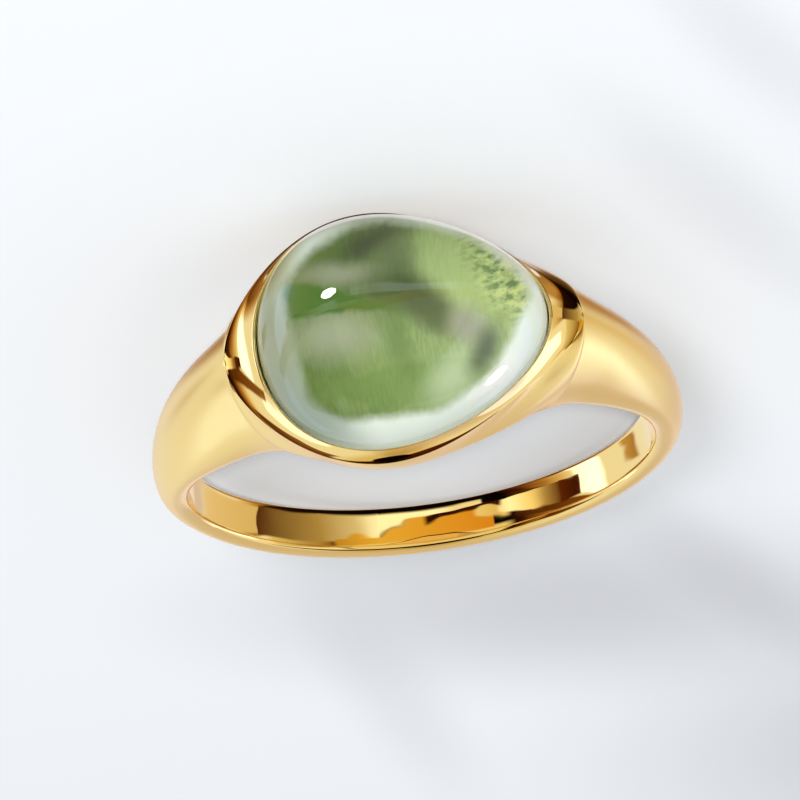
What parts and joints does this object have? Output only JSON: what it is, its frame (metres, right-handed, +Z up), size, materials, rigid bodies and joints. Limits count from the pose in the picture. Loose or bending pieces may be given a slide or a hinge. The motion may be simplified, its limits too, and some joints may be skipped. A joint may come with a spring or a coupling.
{
  "type": "crystal ring",
  "caption": "Finger ring cast in yellow metal, with shoulders that widen to an eye-shaped head and an oval domed green crystal set in it, lying on its side.",
  "frame": {"origin": "centre of the resting ring's footprint, on the surface that it lies on", "axes": "+Z up, -Y towards the head and its crystal, +Y towards the bottom of the shank, X across the head. The finger hole's axis leans 10.9 degrees off +Z."},
  "size_m": [0.0196, 0.0242, 0.0094],
  "materials": {
    "gold_plated_metal": "polished",
    "green_crystal": "polished"
  },
  "bodies": {
    "root": {"ring_body": "gold_plated_metal", "cabochon": "green_crystal"}
  },
  "joints": []
}
